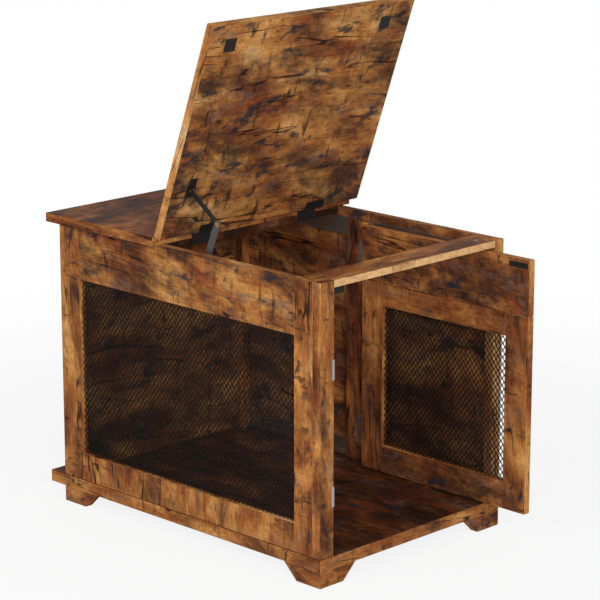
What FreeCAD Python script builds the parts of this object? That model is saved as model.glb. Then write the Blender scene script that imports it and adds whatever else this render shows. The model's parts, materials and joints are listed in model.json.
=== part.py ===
import FreeCAD, Part
import math
import os
import re

# Dog crate end table.  Lengths in millimetres, angles in degrees.
# +X points out of the door end, -Y out of the mesh window, +Z up.
# The table stands with its lid open and its door pushed back along the far wall.

DRIVING_SIZES = {
    # carcass
    "body_length": 727,
    "body_width": 506.5,
    "wall_height": 528,
    "side_thick": 15,
    "back_thick": 15,
    "base_thick": 24.5,
    "base_back_over": 43.5,
    "foot_height": 31.5,
    "foot_top_length": 95,
    "foot_sole_length": 62,
    "foot_thick": 18,
    "batten": 20,
    # near side frame
    "back_stile_width": 57.3,
    "front_stile_width": 47.3,
    "top_rail_height": 109.3,
    "bottom_rail_height": 57,
    # open front
    "post_depth": 21,
    "near_post_width": 35,
    "far_post_width": 25,
    "front_rail_width": 63.5,
    "rail_thick": 14,
    "cross_rail_width": 60,
    # expanded metal
    "mesh_thick": 1.6,
    "mesh_bite": 6,
    "mesh_play": 0.2,
    "mesh_strand": 4,
    "mesh_cell_long": 46,
    "mesh_cell_short": 34,
    # table top
    "top_thick": 18,
    "top_over": 18.75,
    "lid_front_over": 24,
    "fixed_depth": 299.3,
    "lid_open": 70,
    # lid hinges
    "lid_hinge_gap": 4,
    "lid_hinge_length": 50,
    "lid_hinge_inset": 127,
    "lid_hinge_rise": 1.6,
    "lid_leaf_wrap": 16,
    "fixed_leaf_height": 32,
    "fixed_leaf_screw_rise": 7,
    "leaf_thick": 1.5,
    "lid_knuckle_radius": 2.5,
    "pin_radius": 1.2,
    "pin_play": 0.05,
    "knuckle_play": 0.4,
    # lid catch plates and magnets
    "catch_plate_thick": 1.5,
    "lid_plate_length": 27,
    "lid_plate_width": 29,
    "lid_plate_setback": 29,
    "near_plate_inset": 22.5,
    "far_plate_inset": 38,
    "magnet_radius": 5,
    "magnet_depth": 10,
    "magnet_plate_gap": 0.5,
    # folding stay, places measured from the lid's hinge axis
    "stay_wall_reach": 105,
    "stay_wall_drop": 44,
    "stay_elbow_reach": 140,
    "stay_elbow_rise": 40,
    "stay_lid_reach": 110,
    "stay_lid_drop": 9.5,
    "stay_plate": 1.5,
    "stay_lower_thick": 2,
    "stay_layer_gap": 0.5,
    "stay_lower_half": 8,
    "stay_upper_half": 5,
    "stay_rivet_radius": 2.5,
    "stay_rivet_head": 5,
    "stay_lid_rivet_head": 4,
    "stay_rivet_foot": 0.75,
    "stay_bracket_half": 19,
    "stay_wall_plate_drop": 24,
    # door
    "door_thick": 16,
    "door_out": 108.7,
    "door_inset": 3,
    "door_floor_gap": 4,
    "door_top_gap": 3.4,
    "door_free_gap": 2.25,
    "door_hinge_stile_width": 56,
    "door_free_stile_width": 56,
    "door_top_rail_height": 111.2,
    "door_mid_rail_height": 46.1,
    "door_bottom_rail_height": 56,
    "door_plate_length": 45,
    "door_plate_height": 10,
    "door_plate_thick": 1.2,
    "door_plate_drop": 7,
    "door_plate_inset": 4,
    "catch_depth": 22,
    "catch_width": 38,
    "catch_height": 20,
    "catch_gap": 0.5,
    # door hinges
    "door_hinge_length": 60,
    "door_hinge_inset": 40,
    "door_leaf_width": 25,
    "door_knuckle_radius": 3,
    "door_end_gap": 1.9,
    "leaf_axis_gap": 0.1,
    # carriage and its channels
    "carriage_gap": 0.75,
    "carriage_thick": 6,
    "carriage_width": 58,
    "carriage_pin_gap": 3.5,
    "channel_height": 36,
    "channel_wall": 1.5,
    "channel_lip": 8,
    "channel_floor_gap": 6,
    "channel_rail_gap": 2,
    "slide_play": 0.4,
    "slide_end_gap": 1,
    "slide_neck": 12,
    # strike plates on the near post
    "strike_height": 39,
    "strike_low": 97,
    "strike_high": 340.5,
    "strike_face": 5.5,
    "strike_side": 10,
    "strike_thick": 0.8,
    # screws
    "screw_radius": 1.8,
    "screw_head_share": 2,
    "screw_head_depth": 1.4,
    "hinge_screw_length": 12,
    "plate_screw_length": 9,
    "channel_screw_length": 10,
    "carriage_screw_length": 5.5,
    "frame_screw_radius": 2.5,
    "frame_screw_length": 60,
    "foot_screw_length": 45,
    # where the screws stand, as shares of what they hold
    "side_screw_end": 0.12,
    "side_screw_inner": 0.38,
    "foot_screw_along": 0.75,
    "foot_screw_across": 0.65,
    "hinge_screw_spread": 0.3,
    "door_leaf_screw_reach": 0.6,
    "lid_leaf_screw_reach": 0.6,
    "flange_screw_spread": 0.65,
    "wall_screw_high": 0.8,
    "wall_screw_low": 0.3,
    "channel_screw_end": 0.06,
}

# Planes and axes that several pieces share, worked out from the driving sizes.
SHARED_PLACES = {
    "front": "Size.body_length / 2 - (Size.door_out - Size.base_back_over) / 2",
    "back": "front - Size.body_length",
    "middle": "(front + back) / 2",
    "far": "Size.body_width / 2",
    "near": "-far",
    "far_inner": "far - Size.side_thick",
    "near_inner": "near + Size.side_thick",
    "floor": "Size.foot_height + Size.base_thick",
    "wall_top": "floor + Size.wall_height",
    "table_top": "wall_top + Size.top_thick",
    "rail_under": "wall_top - Size.rail_thick",
    "post_back": "front - Size.post_depth",
    "near_post_inner": "near + Size.near_post_width",
    "far_post_inner": "far - Size.far_post_width",
    "window_back": "back + Size.back_stile_width",
    "window_front": "post_back - Size.front_stile_width",
    "window_low": "floor + Size.bottom_rail_height",
    "window_high": "wall_top - Size.top_rail_height",
    "near_mesh_mid": "near + Size.side_thick / 2",
    "hinge_x": "back + Size.fixed_depth",
    "hinge_z": "table_top + Size.lid_hinge_rise",
    "lid_back": "Size.lid_hinge_gap / 2",
    "lid_front": "front + Size.lid_front_over - hinge_x",
    "lid_upper": "-Size.lid_hinge_rise",
    "lid_under": "lid_upper - Size.top_thick",
    "plate_front": "lid_front - Size.lid_plate_setback",
    "plate_back": "plate_front - Size.lid_plate_length",
    "near_plate_edge": "near + Size.near_plate_inset",
    "far_plate_edge": "far - Size.far_plate_inset",
    "top_side": "far + Size.top_over",
    "carriage_far": "far_post_inner - Size.carriage_gap",
    "carriage_near": "carriage_far - Size.carriage_thick",
    "swing_y": "carriage_near - Size.leaf_thick - Size.leaf_axis_gap",
    "door_far": "swing_y - Size.door_knuckle_radius",
    "door_near": "door_far - Size.door_thick",
    "door_low": "floor + Size.door_floor_gap",
    "door_high": "rail_under - Size.door_top_gap",
    "door_length": "swing_y - Size.door_end_gap - near_post_inner - Size.door_free_gap",
    "door_free_end": "front + Size.door_out",
    "door_hinge_end": "door_free_end - door_length",
    "swing_x": "door_hinge_end - Size.door_end_gap",
    "shut_x": "front - Size.door_inset + Size.door_knuckle_radius",
    "door_opening_back": "door_hinge_end + Size.door_hinge_stile_width",
    "door_opening_front": "door_free_end - Size.door_free_stile_width",
    "door_opening_low": "door_low + Size.door_bottom_rail_height",
    "door_joint": "door_high - Size.door_top_rail_height",
    "door_opening_high": "door_joint - Size.door_mid_rail_height",
    "door_mesh_mid": "(door_near + door_far) / 2",
    "carriage_front": "swing_x - Size.carriage_pin_gap",
    "carriage_back": "carriage_front - Size.carriage_width",
    "slide_front": "swing_x - (shut_x - post_back) - Size.slide_end_gap",
    "channel_back": "back + Size.back_thick + Size.batten",
    "slide_back": "channel_back + Size.slide_end_gap + Size.door_out",
    "low_channel": "floor + Size.channel_floor_gap",
    "high_channel": "rail_under - Size.channel_rail_gap - Size.channel_height",
    "stay_wall_x": "hinge_x + Size.stay_wall_reach",
    "stay_wall_z": "hinge_z - Size.stay_wall_drop",
    "stay_low_y": "near_inner + Size.stay_plate + Size.stay_layer_gap",
    "stay_high_y": "stay_low_y + Size.stay_lower_thick + Size.stay_layer_gap",
    "stay_lid_y": "stay_high_y + Size.stay_plate + Size.stay_layer_gap",
    "stay_lid_z": "lid_under - Size.stay_lid_drop",
    "stay_rise_x": "Size.stay_elbow_reach - Size.stay_wall_reach",
    "stay_rise_z": "Size.stay_elbow_rise + Size.stay_wall_drop",
    "stay_lid_open_x": "Size.stay_lid_reach * cos(Size.lid_open) - stay_lid_z * sin(Size.lid_open)",
    "stay_lid_open_z": "Size.stay_lid_reach * sin(Size.lid_open) + stay_lid_z * cos(Size.lid_open)",
    "stay_fall_x": "Size.stay_elbow_reach - stay_lid_open_x",
    "stay_fall_z": "Size.stay_elbow_rise - stay_lid_open_z",
    "stay_lower_length": "sqrt(stay_rise_x ^ 2 + stay_rise_z ^ 2)",
    "stay_upper_length": "sqrt(stay_fall_x ^ 2 + stay_fall_z ^ 2)",
    "stay_lower_angle": "acos(stay_rise_x / stay_lower_length)",
    "stay_upper_angle": "acos(stay_fall_x / stay_upper_length)",
}

doc = FreeCAD.newDocument("DogCrateEndTable")
AXES = {
    "x": FreeCAD.Rotation(FreeCAD.Vector(0, 1, 0), 90),
    "y": FreeCAD.Rotation(FreeCAD.Vector(1, 0, 0), -90),
    "-y": FreeCAD.Rotation(FreeCAD.Vector(1, 0, 0), 90),
    "z": FreeCAD.Rotation(),
    "-z": FreeCAD.Rotation(FreeCAD.Vector(1, 0, 0), 180),
    "-x": FreeCAD.Rotation(FreeCAD.Vector(0, 1, 0), -90),
}
pieces = []


def make_sheet(name, rows):
    """A sheet with one alias for each row: its name in column A, its cell in column B."""
    sheet = doc.addObject("Spreadsheet::Sheet", name)
    for number, (alias, text) in enumerate(rows.items(), start=1):
        sheet.set(f"A{number}", alias)
        sheet.setAlias(f"B{number}", alias)
        sheet.set(f"B{number}", text)
    return sheet


def in_place(text):
    """The expression with each shared plane's name led by its sheet's name."""
    return re.sub(r"(?<![\w.])(" + "|".join(SHARED_PLACES) + r")(?!\w)", r"Place.\1", text)


def bind(feature, prop, text):
    """Bind one property of a feature to an expression of the two sheets."""
    feature.setExpression(prop, in_place(str(text)))


def locate(feature, x, y, z):
    """Bind the three places of a feature's own origin."""
    bind(feature, "Placement.Base.x", x)
    bind(feature, "Placement.Base.y", y)
    bind(feature, "Placement.Base.z", z)


def box(name, x_span, y_span, z_span):
    """A box between two planes along each axis."""
    solid = doc.addObject("Part::Box", name)
    for prop, (low, high) in zip(("Length", "Width", "Height"), (x_span, y_span, z_span)):
        bind(solid, prop, f"({high}) - ({low})")
    locate(solid, x_span[0], y_span[0], z_span[0])
    return solid


def rod(name, along, start, radius, length):
    """A cylinder from its start point along one axis."""
    solid = doc.addObject("Part::Cylinder", name)
    bind(solid, "Radius", radius)
    bind(solid, "Height", length)
    solid.Placement = FreeCAD.Placement(FreeCAD.Vector(), AXES[along])
    locate(solid, *start)
    return solid


def fuse(name, *solids):
    """One solid from several that meet."""
    joined = doc.addObject("Part::MultiFuse", name)
    joined.Shapes = list(solids)
    return joined


def group(name, *solids):
    """Separate solids kept in one node."""
    kept = doc.addObject("Part::Compound", name)
    kept.Links = list(solids)
    return kept


def cut(name, base, *tools):
    """A solid less one or more others."""
    left = doc.addObject("Part::Cut", name)
    left.Base = base
    left.Tool = tools[0] if len(tools) == 1 else group(name + "_tools", *tools)
    return left


def piece(label, feature):
    """Keep a finished feature as a piece of the table."""
    feature.Label = label
    pieces.append(feature)
    return feature


def screw(name, along, head_at, length, radius="Size.screw_radius"):
    """A countersunk wood screw: its head's flat top at head_at, its shank pointing along an axis."""
    head = doc.addObject("Part::Cone", name + "_head")
    bind(head, "Radius1", f"{radius} * Size.screw_head_share")
    bind(head, "Radius2", radius)
    bind(head, "Height", "Size.screw_head_depth")
    head.Placement = FreeCAD.Placement(FreeCAD.Vector(), AXES[along])
    locate(head, *head_at)
    shank = rod(name + "_shank", along, head_at, radius, length)
    return fuse(name, head, shank)


def tilt(feature, x, y, z, angle):
    """Place a feature that is made lying along +X about its pivot: turned up by an angle.

    The turn starts at 45 degrees only so that its axis is set; the angle is bound to the sheet.
    """
    upward = FreeCAD.Rotation(FreeCAD.Vector(0, -1, 0), 45)
    feature.Placement = FreeCAD.Placement(FreeCAD.Vector(), upward)
    bind(feature, "Placement.Rotation.Angle", angle)
    locate(feature, x, y, z)
    return feature


def open_lid(feature):
    """Turn a piece of the shut lid, made about the hinge axis, up to the open lid."""
    return tilt(feature, "hinge_x", "0", "hinge_z", "Size.lid_open")


def mesh_panel(label, width, height, middle):
    """Expanded metal as one plate with staggered diamond holes, standing in the XZ plane.

    Whole cells are set out from the middle, as many as fit inside the plate's border.
    """
    thick = size("mesh_thick")
    border = size("mesh_bite") + size("mesh_strand") / 2
    across = int((width - 2 * border) // size("mesh_cell_long"))
    up = int((height - 2 * border) // size("mesh_cell_short"))
    pitch_x = (width - 2 * border) / across
    pitch_z = (height - 2 * border) / up
    half_x = pitch_x / 2 - size("mesh_strand") / 2 * math.hypot(pitch_x, pitch_z) / pitch_z
    half_z = pitch_z / 2 - size("mesh_strand") / 2 * math.hypot(pitch_x, pitch_z) / pitch_x
    plate = Part.makePlane(width, height, FreeCAD.Vector(-width / 2, 0, -height / 2),
                           FreeCAD.Vector(0, -1, 0), FreeCAD.Vector(1, 0, 0))
    wires = []
    for row in range(2 * up - 1):
        for column in range(across - row % 2):
            x = (column + 0.5 + (row % 2) / 2) * pitch_x - across * pitch_x / 2
            z = (row + 1) * pitch_z / 2 - up * pitch_z / 2
            corners = [(x - half_x, z), (x, z + half_z), (x + half_x, z), (x, z - half_z)]
            loop = [FreeCAD.Vector(a, 0, b) for a, b in corners + corners[:1]]
            wires.append(Part.makePolygon(loop))
    outline = Part.Face([plate.OuterWire] + wires)
    outline.validate()
    panel = doc.addObject("Part::Feature", label)
    panel.Shape = outline.extrude(FreeCAD.Vector(0, thick, 0))
    panel.Placement = FreeCAD.Placement(FreeCAD.Vector(*middle), FreeCAD.Rotation())
    return piece(label, panel)


size_sheet = make_sheet("Size", {alias: str(number) for alias, number in DRIVING_SIZES.items()})
doc.recompute()
place_sheet = make_sheet("Place", {alias: "=" + text for alias, text in SHARED_PLACES.items()})
doc.recompute()


def size(alias):
    """A driving size as a plain number."""
    return float(size_sheet.get(alias))


def place(alias):
    """A shared place as a plain number."""
    value = place_sheet.get(alias)
    return float(getattr(value, "Value", value))


def make_screws():
    """Screws shared by several carcass pieces; each set is also what cuts its own holes."""
    frame = []
    for side, y in (("near", "near_inner - Size.side_thick / 2"), ("far", "far_inner + Size.side_thick / 2")):
        shares = ("Size.side_screw_end", "Size.side_screw_inner", "(1 - Size.side_screw_inner)",
                  "(1 - Size.side_screw_end)")
        for number, share in enumerate(shares):
            x = f"back + Size.body_length * {share}"
            frame.append(screw(f"side_screw_{side}_{number}", "z", (x, y, "Size.foot_height"),
                               "Size.frame_screw_length", "Size.frame_screw_radius"))
    foot = []
    along = "Size.foot_sole_length * Size.foot_screw_along"
    across = "Size.foot_thick * Size.foot_screw_across"
    ends = (("back", f"back + {along}"), ("front", f"front - {along}"))
    sides = (("near", f"near + {across}"), ("far", f"far - {across}"))
    for end, x in ends:
        for side, y in sides:
            foot.append(screw(f"foot_screw_{end}_{side}", "-z", (x, y, "floor"),
                              "Size.foot_screw_length", "Size.frame_screw_radius"))
    return group("side_screws", *frame), group("foot_screws", *foot)


def make_base(side_screws, foot_screws):
    """Plinth board, which stands out behind the back end, on four bracket feet."""
    board = box("base_blank", ("back - Size.base_back_over", "front"), ("near", "far"),
                ("Size.foot_height", "floor"))
    piece("base_board", cut("base_cut", board, side_screws, foot_screws))
    piece("base_screws", group("base_screw_set", side_screws, foot_screws))
    mirror_x = FreeCAD.Vector(1, 0, 0)
    mirror_y = FreeCAD.Vector(0, 1, 0)
    along_x = doc.addObject("Part::Wedge", "foot_side_leg")
    along_y = doc.addObject("Part::Wedge", "foot_end_leg")
    for leg in (along_x, along_y):
        for prop in ("Xmin", "X2min", "Zmin", "Z2min", "Ymin"):
            bind(leg, prop, "0")
        bind(leg, "Ymax", "Size.foot_height")
        bind(leg, "Xmax", "Size.foot_sole_length")
        bind(leg, "X2max", "Size.foot_top_length")
        bind(leg, "Zmax", "Size.foot_thick")
        bind(leg, "Z2max", "Size.foot_thick")
    upright = FreeCAD.Rotation(FreeCAD.Vector(1, 0, 0), 90)
    quarter = FreeCAD.Rotation(FreeCAD.Vector(0, 0, 1), -90)
    along_x.Placement = FreeCAD.Placement(FreeCAD.Vector(), upright)
    locate(along_x, "back", "far", "0")
    along_y.Placement = FreeCAD.Placement(FreeCAD.Vector(), quarter.multiply(upright))
    locate(along_y, "back + Size.foot_thick", "far", "0")
    # the end leg runs from the corner along -Y and lies inside the corner's own square
    corner = fuse("foot_corner", along_x, along_y)
    mirrored = {"foot_back_far": corner}
    mirrored["foot_back_near"] = mirror("foot_near_side", corner, mirror_y)
    mirrored["foot_front_far"] = mirror("foot_front_side", corner, mirror_x)
    mirrored["foot_front_near"] = mirror("foot_last", mirrored["foot_back_near"], mirror_x)
    for label, blank in mirrored.items():
        piece(label, cut(label + "_cut", blank, foot_screws))


def mirror(name, source, normal):
    """A mirror image across the table's middle plane that is square to normal."""
    image = doc.addObject("Part::Mirroring", name)
    image.Source = source
    image.Normal = normal
    bind(image, "Base.x", "middle")
    return image


def make_near_side(side_screws, wall_screws):
    """Two stiles and two rails round a window of expanded metal held in their groove."""
    y_span = ("near", "near_inner")
    half_slot = "(Size.mesh_thick / 2 + Size.mesh_play)"
    reach = "(Size.mesh_bite + Size.mesh_play)"
    groove = box("window_groove",
                 (f"window_back - {reach}", f"window_front + {reach}"),
                 (f"near_mesh_mid - {half_slot}", f"near_mesh_mid + {half_slot}"),
                 (f"window_low - {reach}", f"window_high + {reach}"))
    stile_z = ("floor", "wall_top")
    back_stile = box("back_stile_blank", ("back", "window_back"), y_span, stile_z)
    front_stile = box("front_stile_blank", ("window_front", "post_back"), y_span, stile_z)
    top_rail = box("top_rail_blank", ("window_back", "window_front"), y_span, ("window_high", "wall_top"))
    bottom_rail = box("bottom_rail_blank", ("window_back", "window_front"), y_span, ("floor", "window_low"))
    piece("near_back_stile", cut("back_stile_cut", back_stile, groove, side_screws))
    piece("near_front_stile", cut("front_stile_cut", front_stile, groove, side_screws))
    piece("near_top_rail", cut("top_rail_cut", top_rail, groove, wall_screws))
    piece("near_bottom_rail", cut("bottom_rail_cut", bottom_rail, groove, side_screws))
    width = place("window_front") - place("window_back") + 2 * size("mesh_bite")
    height = place("window_high") - place("window_low") + 2 * size("mesh_bite")
    middle = ((place("window_front") + place("window_back")) / 2,
              place("near_mesh_mid") - size("mesh_thick") / 2,
              (place("window_high") + place("window_low")) / 2)
    mesh_panel("near_mesh", width, height, middle)


def make_walls(side_screws, channel_screws):
    """Solid far side and back end, with a square batten in each back corner."""
    tall = ("floor", "wall_top")
    far_blank = box("far_blank", ("back", "post_back"), ("far_inner", "far"), tall)
    piece("far_panel", cut("far_cut", far_blank, side_screws, channel_screws))
    back_x = ("back", "back + Size.back_thick")
    piece("back_panel", box("back_blank", back_x, ("near_inner", "far_inner"), tall))
    batten_x = ("back + Size.back_thick", "back + Size.back_thick + Size.batten")
    piece("corner_batten_near",
          box("batten_near", batten_x, ("near_inner", "near_inner + Size.batten"), tall))
    piece("corner_batten_far", box("batten_far", batten_x, ("far_inner - Size.batten", "far_inner"), tall))


def make_front():
    """Two posts and the flat rail between them, with the magnets that hold the shut lid."""
    tall = ("floor", "wall_top")
    near_post = box("near_post_blank", ("post_back", "front"), ("near", "near_post_inner"), tall)
    far_post = box("far_post_blank", ("post_back", "front"), ("far_post_inner", "far"), tall)
    piece("near_front_post", near_post)
    piece("far_front_post", far_post)
    magnets = []
    for side, y in (("near", "near_plate_edge + Size.lid_plate_width / 2"),
                    ("far", "far_plate_edge - Size.lid_plate_width / 2")):
        start = ("hinge_x + plate_back + Size.magnet_plate_gap + Size.magnet_radius", y,
                 "wall_top - Size.magnet_depth")
        magnets.append(rod(f"magnet_{side}", "z", start, "Size.magnet_radius", "Size.magnet_depth"))
    piece("lid_magnets", group("magnet_pair", *magnets))
    rail_x = ("front - Size.front_rail_width", "front")
    blank = box("front_rail_blank", rail_x, ("near_inner", "far_inner"), ("rail_under", "wall_top"))
    piece("front_rail", cut("front_rail_cut", blank, near_post, far_post, *magnets))


def lid_hinge_centres():
    """The two lid hinges, as a side's name and the expression of its middle."""
    return (("near", "(Size.lid_hinge_inset - top_side)"), ("far", "(top_side - Size.lid_hinge_inset)"))


def knuckles(name, centre, length, share, radius, along):
    """Every other third of a hinge's barrel, bored for the pin.

    share is 'outer' for the two end thirds or 'middle' for the one between them.
    """
    third = f"({length} / 3)"
    if share == "middle":
        spans = [(f"-{third} / 2 + Size.knuckle_play / 2", f"{third} - Size.knuckle_play")]
    else:
        spans = [(f"-{third} * 1.5", third), (f"{third} / 2", third)]
    barrels = []
    x, y, z = centre
    for number, (start, span) in enumerate(spans):
        begin = (x, f"({y}) + {start}", z) if along == "y" else (x, y, f"({z}) + {start}")
        barrels.append(rod(f"{name}_barrel_{number}", along, begin, radius, span))
    return barrels


def pin_bore(name, centre, length, along):
    """The hole for a hinge's pin, right through its barrel."""
    x, y, z = centre
    begin = (x, f"({y}) - {length}", z) if along == "y" else (x, y, f"({z}) - {length}")
    return rod(name, along, begin, "Size.pin_radius + Size.pin_play", f"{length} * 2")


def make_fixed_top():
    """Fixed board of the table top, the rail under its front edge, hinge leaves, pins and screws."""
    edge = "hinge_x - Size.lid_hinge_gap / 2"
    screws = []
    leaves = []
    pins = []
    for side, centre in lid_hinge_centres():
        for number, sign in enumerate("-+"):
            along = f"{centre} {sign} Size.lid_hinge_length * Size.hinge_screw_spread"
            height = "table_top - Size.fixed_leaf_height + Size.fixed_leaf_screw_rise"
            spot = (f"{edge} + Size.leaf_thick", along, height)
            screws.append(screw(f"fixed_leaf_screw_{side}_{number}", "-x", spot, "Size.hinge_screw_length"))
        axis = ("hinge_x", centre, "hinge_z")
        flap = box(f"fixed_flap_{side}", (edge, f"{edge} + Size.leaf_thick"),
                   (f"{centre} - Size.lid_hinge_length / 2", f"{centre} + Size.lid_hinge_length / 2"),
                   ("table_top - Size.fixed_leaf_height", "hinge_z"))
        relief = rod(f"fixed_relief_{side}", "y",
                     ("hinge_x", f"{centre} - Size.lid_hinge_length / 6", "hinge_z"),
                     "Size.lid_knuckle_radius + Size.knuckle_play", "Size.lid_hinge_length / 3")
        barrels = knuckles(f"fixed_{side}", axis, "Size.lid_hinge_length", "outer",
                           "Size.lid_knuckle_radius", "y")
        body = fuse(f"fixed_body_{side}", cut(f"fixed_flap_cut_{side}", flap, relief), *barrels)
        leaves.append((side, body, pin_bore(f"fixed_bore_{side}", axis, "Size.lid_hinge_length", "y")))
        pins.append(rod(f"lid_pin_{side}", "y",
                        ("hinge_x", f"{centre} - Size.lid_hinge_length / 2", "hinge_z"),
                        "Size.pin_radius", "Size.lid_hinge_length"))
    screw_set = group("fixed_leaf_screws", *screws)
    for side, body, bore in leaves:
        piece(f"lid_hinge_fixed_leaf_{side}", cut(f"fixed_leaf_cut_{side}", body, bore, screw_set))
    piece("lid_hinge_pins", group("lid_pin_pair", *pins))
    rail = box("cross_rail_blank", (f"{edge} - Size.cross_rail_width", edge), ("near_inner", "far_inner"),
               ("rail_under", "wall_top"))
    piece("cross_rail", cut("cross_rail_cut", rail, screw_set))
    piece("top_fixed", box("top_fixed_blank", ("back - Size.top_over", edge), ("-top_side", "top_side"),
                           ("wall_top", "table_top")))
    return screw_set


def make_lid():
    """Lid, made shut about the hinge axis and turned open: board, leaves, plates, bracket, screws."""
    screws = []
    leaves = []
    for side, centre in lid_hinge_centres():
        for number, sign in enumerate("-+"):
            along = f"{centre} {sign} Size.lid_hinge_length * Size.hinge_screw_spread"
            spot = ("lid_back + Size.lid_leaf_wrap * Size.lid_leaf_screw_reach", along,
                    "lid_under - Size.leaf_thick")
            screws.append(screw(f"lid_leaf_screw_{side}_{number}", "z", spot, "Size.hinge_screw_length"))
        # the leaf runs down the board's back edge and wraps round it on to the underside
        leaf_y = (f"{centre} - Size.lid_hinge_length / 2", f"{centre} + Size.lid_hinge_length / 2")
        leaf_z = "lid_under - Size.leaf_thick"
        upright = box(f"lid_upright_{side}", ("lid_back - Size.leaf_thick", "lid_back"), leaf_y, (leaf_z, "0"))
        wrap = box(f"lid_wrap_{side}", ("lid_back - Size.leaf_thick", "lid_back + Size.lid_leaf_wrap"), leaf_y,
                   (leaf_z, "lid_under"))
        flap = fuse(f"lid_flap_{side}", upright, wrap)
        reliefs = []
        third_starts = ("-Size.lid_hinge_length / 2", "Size.lid_hinge_length / 6 - Size.knuckle_play / 2")
        for number, start in enumerate(third_starts):
            begin = ("0", f"{centre} + {start}", "0")
            reliefs.append(rod(f"lid_relief_{side}_{number}", "y", begin,
                               "Size.lid_knuckle_radius + Size.knuckle_play",
                               "Size.lid_hinge_length / 3 + Size.knuckle_play / 2"))
        barrels = knuckles(f"lid_{side}", ("0", centre, "0"), "Size.lid_hinge_length", "middle",
                           "Size.lid_knuckle_radius", "y")
        body = fuse(f"lid_body_{side}", cut(f"lid_flap_cut_{side}", flap, *reliefs), *barrels)
        bore = pin_bore(f"lid_bore_{side}", ("0", centre, "0"), "Size.lid_hinge_length", "y")
        leaves.append((side, body, bore))
    plate_y = {"near": ("near_plate_edge", "near_plate_edge + Size.lid_plate_width"),
               "far": ("far_plate_edge - Size.lid_plate_width", "far_plate_edge")}
    plates = {side: box(f"{side}_plate", ("plate_back", "plate_front"), y_span,
                        ("lid_under", "lid_under + Size.catch_plate_thick"))
              for side, y_span in plate_y.items()}
    flange_y = ("stay_lid_y", "stay_lid_y + Size.stay_bracket_half")
    flange_x = ("Size.stay_lid_reach - Size.stay_bracket_half",
                "Size.stay_lid_reach + Size.stay_bracket_half")
    flange = box("stay_flange", flange_x, flange_y, ("lid_under - Size.stay_plate", "lid_under"))
    web_x = ("Size.stay_lid_reach - Size.stay_upper_half", "Size.stay_lid_reach + Size.stay_upper_half")
    web = box("stay_web", web_x, ("stay_lid_y", "stay_lid_y + Size.stay_plate"),
              ("stay_lid_z", "lid_under - Size.stay_plate"))
    eye = rod("stay_eye", "y", ("Size.stay_lid_reach", "stay_lid_y", "stay_lid_z"),
              "Size.stay_upper_half", "Size.stay_plate")
    for number, sign in enumerate("-+"):
        spot = (f"Size.stay_lid_reach {sign} Size.stay_bracket_half * Size.flange_screw_spread",
                "stay_lid_y + Size.stay_bracket_half / 2", "lid_under - Size.stay_plate")
        screws.append(screw(f"stay_flange_screw_{number}", "z", spot, "Size.plate_screw_length"))
    rivet = fuse("lid_rivet_joined",
                 rod("lid_rivet_shank", "y",
                     ("Size.stay_lid_reach", "stay_high_y - Size.stay_rivet_foot", "stay_lid_z"),
                     "Size.stay_rivet_radius",
                     "stay_lid_y - stay_high_y + Size.stay_rivet_foot + Size.stay_plate * 2"),
                 rod("lid_rivet_head", "y",
                     ("Size.stay_lid_reach", "stay_lid_y + Size.stay_plate", "stay_lid_z"),
                     "Size.stay_lid_rivet_head", "Size.stay_plate"))
    screw_set = group("lid_screw_set", *screws)
    for side, body, bore in leaves:
        piece(f"lid_hinge_lid_leaf_{side}", open_lid(cut(f"lid_leaf_cut_{side}", body, bore, screw_set)))
    board = box("lid_blank", ("lid_back", "lid_front"), ("-top_side", "top_side"),
                ("lid_under", "lid_upper"))
    piece("lid_board", open_lid(cut("lid_cut", board, screw_set, *plates.values())))
    for side, plate in plates.items():
        piece(f"lid_catch_plate_{side}", open_lid(group(f"{side}_plate_set", plate)))
    bracket = fuse("stay_bracket_joined", flange, web, eye)
    piece("stay_lid_bracket", open_lid(cut("stay_bracket_cut", bracket, rivet, screw_set)))
    piece("stay_lid_rivet", open_lid(group("lid_rivet_set", rivet)))
    piece("lid_screws", open_lid(group("lid_screws_open", screw_set)))


def arm(name, length, half, thick, near_end_hole):
    """A flat arm with round ends along +X from its pivot, bored at the pivot."""
    strap = box(name + "_strap", ("0", length), (0, thick), (f"-{half}", half))
    ends = [rod(f"{name}_end_{number}", "y", (at, "0", "0"), half, thick)
            for number, at in enumerate(("0", length))]
    hole = rod(name + "_hole", "y", ("0", "-1", "0"), near_end_hole, f"{thick} + 2")
    return cut(name + "_bored", fuse(name + "_joined", strap, *ends), hole)


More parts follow.
